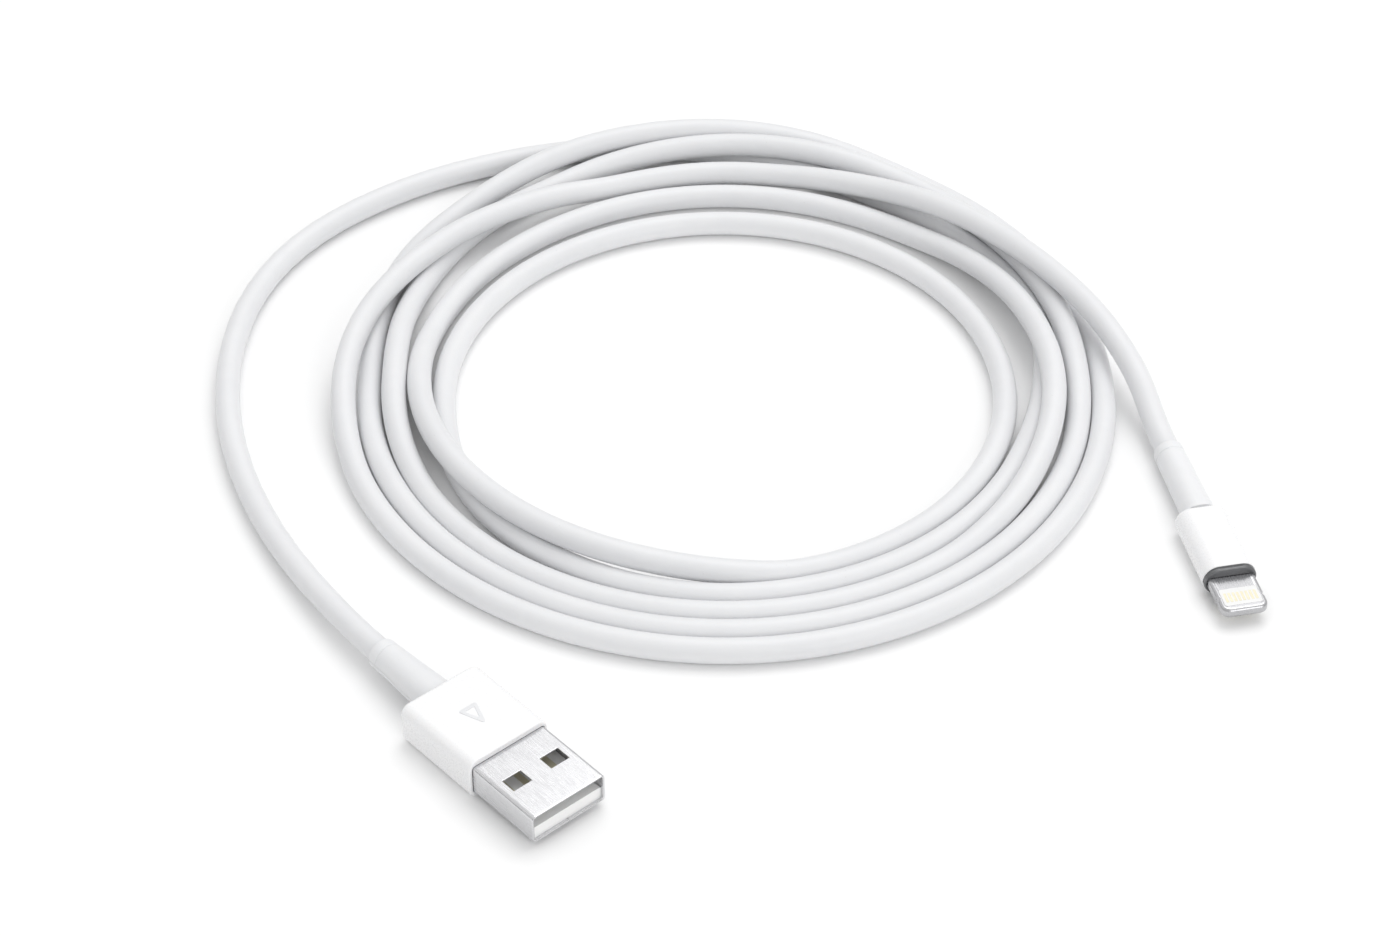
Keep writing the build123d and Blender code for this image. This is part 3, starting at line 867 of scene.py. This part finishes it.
@dataclass
class DevicePlug:
    """The small reversible plug: white housing, dark face plate, steel tab and boot."""

    tab_width: float = 6.7
    tab_thickness: float = 1.5
    tab_length: float = 10.5
    tab_round: float = 0.5
    tip_round: float = 1.3
    notch_radius: float = 0.45
    notch_from_tip: float = 2.7
    window_start: float = 1.0
    window_end: float = 4.3
    window_half: float = 2.7
    window_corner: float = 0.3
    exposed: float = 6.7
    plate_thickness: float = 0.7
    plate_inset: float = 0.12
    plate_round: float = 0.18
    width: float = 7.7
    height: float = 4.5
    length: float = 12.9
    wall: float = 0.55
    front_round: float = 0.14
    back_round: float = 0.75
    boot_length: float = 14.6
    boot_width: float = 4.9
    boot_height: float = 4.3
    joint_gap: float = 0.03
    joint_depth: float = 0.1
    joint_taper: float = 0.05
    joint_rim: float = 0.1
    rear_wall: float = 1.0
    slot_gap: float = 0.04
    slot_lip: float = 0.07
    slot_lip_depth: float = 0.08
    tab_edge: float = 0.04
    notch_points: int = 17
    arc_steps: int = 16

    def build(self, builder: Builder, frame: dict) -> None:
        """Make the plug's visible pieces."""
        pose = Pose.from_mount(frame["record"], "device_plug_tab")
        self._housing(builder, pose)
        self._face_plate(builder, pose)
        back = self.exposed + self.plate_thickness + self.length
        StrainRelief("device_boot", "device_strain_relief", back, self.boot_length,
                     self.boot_width, self.boot_height).build(builder, pose)
        self._tab(builder, pose)

    def _tab(self, builder: Builder, pose: Pose) -> bpy.types.Object:
        """The steel frame of the tab: a slab with rounded edges, side notches and a window.

        Every loop in plan is a rounded rectangle whose long sides carry the same extra points, so
        one loop joins the next point by point. On the outer loops those points follow the two
        round notches. From the window's lower edge the loops run out to the rim, up its quarter
        circles and in to the window's upper edge.
        """
        half = self.tab_thickness / 2
        angle = np.linspace(0.0, QUARTER, 7)
        inset = self.tab_round * (1.0 - np.cos(angle))
        rise = half - self.tab_round * (1.0 - np.sin(angle))
        rim = [self._plan(0.0, self.tab_length, self.tab_width / 2, self.tip_round, e, True)
               for e in np.concatenate([inset[::-1], inset])]
        window = self._plan(self.window_start, self.window_end, self.window_half,
                            self.window_corner, 0.0, False)
        loops = [window, *rim, window]
        heights = np.concatenate([[-half], -rise[::-1], rise, [half]])
        rings = np.stack([np.column_stack([loop, np.full(len(loop), z)])
                          for loop, z in zip(loops, heights)])
        return builder.piece("device_tab_rim", pose.placed(rings), skin(rings, wrap=True),
                             "tab_steel", ["device_tab_frame"], bevel=self.tab_edge * MM)

    def _plan(self, start: float, end: float, half: float, corner: float, inset: float,
              notched: bool) -> np.ndarray:
        """One loop of the tab in plan.

        Args:
            start: how far behind the tip the loop begins.
            end: how far behind the tip it ends.
            half: half its width.
            corner: the radius of its corners.
            inset: how far it stands in from that outline.
            notched: whether its long sides follow the notches.
        Returns:
            Its points, each as x and y in millimetres.
        """
        arc = np.linspace(0.0, QUARTER, 9)
        r = max(corner - inset, LEAST_CORNER)
        ahead, behind, side = -start - inset, -end + inset, half - inset
        reach = np.linspace(-QUARTER, QUARTER, self.notch_points)
        along = -self.notch_from_tip + self.notch_radius * np.sin(reach)
        along = np.clip(along, behind + r, ahead - r)
        off = np.abs(along + self.notch_from_tip)
        depth = np.sqrt(np.maximum(self.notch_radius**2 - off**2, 0.0)) if notched else 0.0 * off
        edge = np.minimum(side, half - depth)
        left = np.column_stack([along[::-1], edge[::-1]])
        right = np.column_stack([along, -edge])
        return np.vstack([
            np.column_stack([ahead - r + r * np.cos(arc), side - r + r * np.sin(arc)]),
            left,
            np.column_stack([behind + r - r * np.sin(arc), side - r + r * np.cos(arc)]),
            np.column_stack([behind + r - r * np.cos(arc), r - side - r * np.sin(arc)]),
            right,
            np.column_stack([ahead - r + r * np.sin(arc), r - side - r * np.cos(arc)]),
        ])

    def _housing(self, builder: Builder, pose: Pose) -> bpy.types.Object:
        """The moulded housing: a hollow front, an oval section and a rounded back."""
        w, h = self.width, self.height
        front = -(self.exposed + self.plate_thickness)
        back = front - self.length
        hollow_w, hollow_h = w - 2 * self.wall, h - 2 * self.wall
        rows = [(back + self.rear_wall, hollow_w, hollow_h, hollow_h / 2),
                (front, hollow_w, hollow_h, hollow_h / 2)]
        rows += reversed(rounding(front, w, h, h / 2, self.front_round, 1.0))
        rows += rounding(back, w, h, h / 2, self.back_round, -1.0, FINE_STEPS)
        joint_w, joint_h = (min(side + 2 * self.joint_gap, room - self.joint_rim)
                            for side, room in zip((self.boot_width, self.boot_height),
                                                  rows[-1][1:3]))
        taper = self.joint_taper
        rows += [(back, joint_w, joint_h, joint_h / 2),
                 (back + self.joint_depth, joint_w - taper, joint_h - taper, joint_h / 2)]
        rings = loft(rows, self.arc_steps)
        return builder.piece("device_housing_moulding", pose.placed(rings), capped(rings),
                             "device_mouldings", ["device_housing"])

    def _face_plate(self, builder: Builder, pose: Pose) -> bpy.types.Object:
        """The plate round the tab, rounded at its front edge and lipped at the tab's slot."""
        w, h = self.width - 2 * self.plate_inset, self.height - 2 * self.plate_inset
        front, back = -self.exposed, -(self.exposed + self.plate_thickness)
        slot_w, slot_h = (side + 2 * self.slot_gap
                          for side in (self.tab_width, self.tab_thickness))
        rows = [(back, slot_w, slot_h, slot_h / 2),
                (front - self.slot_lip_depth, slot_w, slot_h, slot_h / 2),
                (front, slot_w + 2 * self.slot_lip, slot_h + 2 * self.slot_lip, slot_h / 2)]
        rows += reversed(rounding(front, w, h, h / 2, self.plate_round, 1.0))
        rows += [(back, w, h, h / 2)]
        rings = loft(rows, self.arc_steps)
        return builder.piece("device_front_plate", pose.placed(rings), skin(rings, wrap=True),
                             "face_plate_metal", ["device_face_plate"])


# ---------------------------------------------------------------- cord


@dataclass
class Coil:
    """Five loose turns, laid clockwise seen from above, each resting on whatever was laid before.

    Each mark gives the turns past the back of the coil and the radius of the cord's middle line
    there, in millimetres. Each bridge gives the turns and the least height of that line, where
    the stiff cord bridges, and the cord lies on the surface before the first of them.
    """

    centre: tuple[float, float] = (-12.9 * MM, 52.4 * MM)
    points_per_turn: int = 48
    fine_steps: int = 4
    marks: tuple[tuple[float, float], ...] = (
        (-0.052, 64.8), (0.00, 60.3), (0.05, 55.8), (0.10, 53.0), (0.15, 51.5), (0.20, 49.8),
        (0.25, 46.8), (0.30, 45.1), (0.375, 44.8), (0.50, 44.9), (0.625, 43.4), (0.75, 40.9),
        (1.00, 41.5), (1.25, 41.1), (1.50, 41.2), (1.625, 42.6), (1.75, 44.5), (1.875, 46.9),
        (2.00, 48.7), (2.125, 47.9), (2.20, 47.6), (2.25, 48.0), (2.50, 48.55), (2.75, 48.1),
        (2.80, 50.0), (2.85, 53.2), (2.90, 56.2), (2.95, 57.9), (3.00, 58.1), (3.05, 57.3),
        (3.10, 55.6), (3.15, 53.8), (3.20, 52.5), (3.25, 51.75), (3.50, 52.2), (3.75, 51.75),
        (3.80, 54.3), (3.85, 58.2), (3.90, 60.8), (3.95, 61.9), (4.00, 61.9), (4.05, 61.2),
        (4.10, 59.4), (4.15, 57.6), (4.20, 56.2), (4.25, 55.4), (4.50, 55.9), (4.75, 55.4),
        (4.80, 54.6), (4.85, 53.4), (4.90, 52.5), (4.95, 52.6), (5.00, 53.0), (5.05, 52.3),
        (5.10, 51.4), (5.15, 51.8), (5.185, 53.4), (5.211, 55.6), (5.233, 57.8), (5.255, 60.4),
    )
    bridges: tuple[tuple[float, float], ...] = (
        (4.85, 1.8), (4.90, 2.0), (4.95, 2.6), (5.00, 3.2), (5.05, 3.3), (5.10, 3.5),
        (5.15, 3.9), (5.185, 4.1), (5.211, 3.9), (5.233, 3.2), (5.255, 2.5),
    )
    contact: float = 3.55 * MM
    bridging: float = 4.0
    rounds: int = 14

    def lane(self, turn: np.ndarray) -> tuple[np.ndarray, np.ndarray]:
        """The chosen lane at any turn.

        A cubic passes through each mark's radius. Its slope there is the harmonic mean of the
        slopes on both sides, or level at a turning point, so it never swings past a mark. The
        least height is joined by straight lines.

        Args:
            turn: how many turns each point is past the back of the coil.
        Returns:
            Radii and least heights, in metres.
        """
        at, radius = np.array(self.marks).T
        rate = np.diff(radius) / np.diff(at)
        before, after = rate[:-1], rate[1:]
        both = np.where(before * after > 0.0, before + after, 1.0)
        inner = np.where(before * after > 0.0, 2.0 * before * after / both, 0.0)
        slope = np.concatenate([rate[:1], inner, rate[-1:]])
        index = np.clip(np.searchsorted(at, turn, side="right") - 1, 0, len(at) - 2)
        span = at[index + 1] - at[index]
        t = (turn - at[index]) / span
        line = ((2 * t**3 - 3 * t**2 + 1) * radius[index]
                + (t**3 - 2 * t**2 + t) * span * slope[index]
                + (3 * t**2 - 2 * t**3) * radius[index + 1]
                + (t**3 - t**2) * span * slope[index + 1])
        return line * MM, np.interp(turn, *np.array(self.bridges).T) * MM

    def drape(self, plan: np.ndarray, least: np.ndarray) -> np.ndarray:
        """The height at which each point rests on the stretches laid before it.

        A point within a diameter, in plan, of an earlier stretch lies on it like one circle on
        another. What was laid less than a third of a turn before is still the same strand. The
        stiff cord then reaches each such height along a parabola, which makes the long low hump
        either side of a crossing.

        Args:
            plan: the points' places on the surface, in the order of laying.
            least: the least height of each.
        Returns:
            Each point's height, in metres.
        """
        order = np.arange(len(plan))
        apart = np.linalg.norm(plan[:, None] - plan[None], axis=2)
        clear = self.points_per_turn * self.fine_steps // 3
        under = (order[None, :] < order[:, None] - clear) & (apart < self.contact)
        rise = np.sqrt(np.maximum(self.contact**2 - apart**2, 0.0))
        lift = np.where(under, rise, -1.0)
        step = np.linalg.norm(np.diff(plan, axis=0), axis=1)
        along = np.concatenate([[0.0], np.cumsum(step)])
        hump = self.bridging * (along[:, None] - along[None]) ** 2
        height = least.copy()
        for _ in range(self.rounds):
            rest = np.maximum(least, (height[None] + lift).max(axis=1))
            height = (rest[None] - hump).max(axis=1)
        return height

    def points(self) -> np.ndarray:
        """The control points of the cord's middle line through the coil, one row for each."""
        first, last = self.marks[0][0], self.marks[-1][0]
        count = round((last - first) * self.points_per_turn) * self.fine_steps + 1
        turn = np.linspace(first, last, count)
        angle = QUARTER - 2 * math.pi * turn
        radius, least = self.lane(turn)
        plan = np.column_stack([self.centre[0] + radius * np.cos(angle),
                                self.centre[1] + radius * np.sin(angle)])
        height = self.drape(plan, least)
        return np.column_stack([plan, height])[:: self.fine_steps]


@dataclass
class Cord:
    """The whole cord: the run from the host plug, the coil, and the run to the device plug."""

    diameter: float = 3.6 * MM
    length: float = 1.825
    host_route: tuple[Point, ...] = (
        (-58.970, -5.164, 3.15),
        (-64.272, 0.829, 3.15),
        (-76.1, 19.8, 1.85),
        (-83.7, 39.2, 1.85),
        (-86.3, 58.6, 1.85),
        (-83.9, 76.8, 1.85),
        (-76.1, 91.6, 1.85),
        (-61.9, 103.8, 1.85),
        (-46.5, 110.8, 1.85),
    )
    device_route: tuple[Point, ...] = (
        (49.253, 44.025, 2.25),
        (50.490, 38.154, 2.25),
    )
    coil: Coil = field(default_factory=Coil)

    def line(self) -> np.ndarray:
        """The control points of the cord's middle line, in metres, from host to device."""
        return np.vstack([np.array(self.host_route) * MM, self.coil.points(),
                          np.array(self.device_route) * MM])

    def build(self, paints: Paints) -> bpy.types.Object:
        """Make the cord as one round spline in place of its plain solids.

        Args:
            paints: the finishes.
        Returns:
            The cord's curve object.
        """
        points = self.line()
        curve = bpy.data.curves.new("cord", "CURVE")
        curve.dimensions = "3D"
        spline = curve.splines.new("NURBS")
        spline.points.add(len(points) - 1)
        spline.points.foreach_set("co", np.column_stack([points, np.ones(len(points))]).ravel())
        spline.order_u = 3
        spline.use_endpoint_u = True
        spline.resolution_u = 4
        curve.bevel_depth = self.diameter / 2
        curve.bevel_resolution = 6
        curve.use_fill_caps = True
        cord = bpy.data.objects.new("cord", curve)
        bpy.context.scene.collection.objects.link(cord)
        paints.dress(cord, "cord_jacket")
        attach(cord, BODY)
        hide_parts("host_cord_run", "cord_coil", "device_cord_run")
        LOG.info("cord: %d control points", len(points))
        return cord


# ---------------------------------------------------------------- studio


@dataclass
class Studio:
    """A white surface, a soft light from above and behind, a weaker one from the front right, a
    bright surround and the camera.
    """

    target: Point = (-17.1 * MM, 36.95 * MM, 0.0)
    elevation: float = 40.0
    distance: float = 0.515
    lens: float = 93.2
    floor_half: float = 1.6
    key_place: Point = (0.30, 0.62, 1.45)
    key_size: float = 1.1
    key_power: float = 8.0
    fill_place: Point = (0.75, -1.15, 0.62)
    fill_size: float = 0.9
    fill_power: float = 5.0
    sky_strength: float = 0.84
    sky_horizon: float = 0.34
    sky_rise: tuple[float, float] = (0.02, 0.38)
    sky_front: float = 0.92
    sky_behind: float = 1.12
    paper: Colour = (0.93, 0.93, 0.93)

    def build(self) -> None:
        """Make the floor, the lights, the world and the camera."""
        self._floor()
        self._sky()
        self._panel("key_panel", self.key_place, self.key_size, self.key_power)
        self._panel("fill_panel", self.fill_place, self.fill_size, self.fill_power)
        self._camera()
        bpy.context.scene.view_settings.view_transform = "Standard"

    def _floor(self) -> None:
        """A wide pale floor at the surface that the cable lies on."""
        size = self.floor_half
        mesh = bpy.data.meshes.new("floor")
        mesh.from_pydata([(-size, -size, 0), (size, -size, 0), (size, size, 0), (-size, size, 0)],
                         [], [(0, 1, 2, 3)])
        floor = bpy.data.objects.new("floor", mesh)
        bpy.context.scene.collection.objects.link(floor)
        paint = bpy.data.materials.new("floor_paper")
        paint.use_nodes = True
        Graph(paint.node_tree).feed(paint.node_tree.nodes["Principled BSDF"],
                                    Base_Color=rgba(self.paper), Roughness=0.9,
                                    Specular_IOR_Level=0.1)
        mesh.materials.append(paint)
        floor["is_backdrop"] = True

    def _sky(self) -> None:
        """A soft surround: bright overhead and behind, dim at the horizon, white where it is seen."""
        world = bpy.data.worlds.new("studio")
        world.use_nodes = True
        graph = Graph(world.node_tree)
        parts = graph.add("ShaderNodeSeparateXYZ")
        graph.feed(parts, Vector=graph.add("ShaderNodeTexCoord").outputs["Generated"])
        rise = graph.spread(parts.outputs["Z"], *self.sky_rise, self.sky_horizon, 1.0)
        behind = graph.spread(parts.outputs["Y"], -0.6, 0.7, self.sky_front, self.sky_behind)
        glow = graph.math("MULTIPLY", graph.math("MULTIPLY", rise, behind), self.sky_strength)
        seen = graph.add("ShaderNodeLightPath").outputs["Is Camera Ray"]
        strength = graph.add("ShaderNodeMix", data_type="FLOAT")
        for place, value in ((0, seen), (2, glow), (3, 1.0)):
            graph.put(strength.inputs[place], value)
        graph.feed(world.node_tree.nodes["Background"], Color=rgba((1.0, 1.0, 1.0)),
                   Strength=strength.outputs[0])
        bpy.context.scene.world = world

    def _panel(self, name: str, place: Point, size: float, power: float) -> None:
        """One large square light that faces the cable."""
        light = bpy.data.lights.new(name, "AREA")
        light.size = size
        light.energy = power
        panel = bpy.data.objects.new(name, light)
        panel.location = place
        panel.rotation_euler = self._aim(place, self.target)
        bpy.context.scene.collection.objects.link(panel)

    @staticmethod
    def _aim(place: Sequence[float], target: Sequence[float]) -> tuple[float, float, float]:
        """The turn that points an object's -Z from place at target."""
        x, y, z = (t - p for t, p in zip(target, place))
        tilt = math.atan2(math.hypot(x, y), -z)
        return (tilt, 0.0, math.atan2(-x, y))

    def _camera(self) -> None:
        """A long lens that looks down at the cable from the front."""
        tilt = math.radians(self.elevation)
        place = (self.target[0], self.target[1] - self.distance * math.cos(tilt),
                 self.target[2] + self.distance * math.sin(tilt))
        data = bpy.data.cameras.new("camera")
        data.lens = self.lens
        data.sensor_width = 36.0
        data.clip_start = 0.01
        camera = bpy.data.objects.new("camera", data)
        camera.location = place
        camera.rotation_euler = self._aim(place, self.target)
        bpy.context.scene.collection.objects.link(camera)
        bpy.context.scene.camera = camera


def plain(bounds: Iterable[Iterable[float]]) -> list[list[float]]:
    """Bounds as plain lists of numbers."""
    return [[float(v) for v in corner] for corner in bounds]


def main() -> list[list[float]]:
    """Build the scene round the frame.

    Returns:
        The frame's own bounds, from before any piece was added.
    """
    logging.basicConfig(level=logging.INFO, format="%(name)s: %(message)s")
    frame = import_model()
    cad_bounds = plain(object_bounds())
    paints = Paints()
    slots = {s["node"]: s["material_slot"] for s in frame["record"]["subparts"]}
    for node, piece in frame["nodes"].items():
        paints.dress(piece, slots[node])
    builder = Builder(paints)
    HostPlug().build(builder, frame)
    DevicePlug().build(builder, frame)
    Cord().build(paints)
    Studio().build()
    return cad_bounds


if __name__ == "__main__":
    frame_box = main()
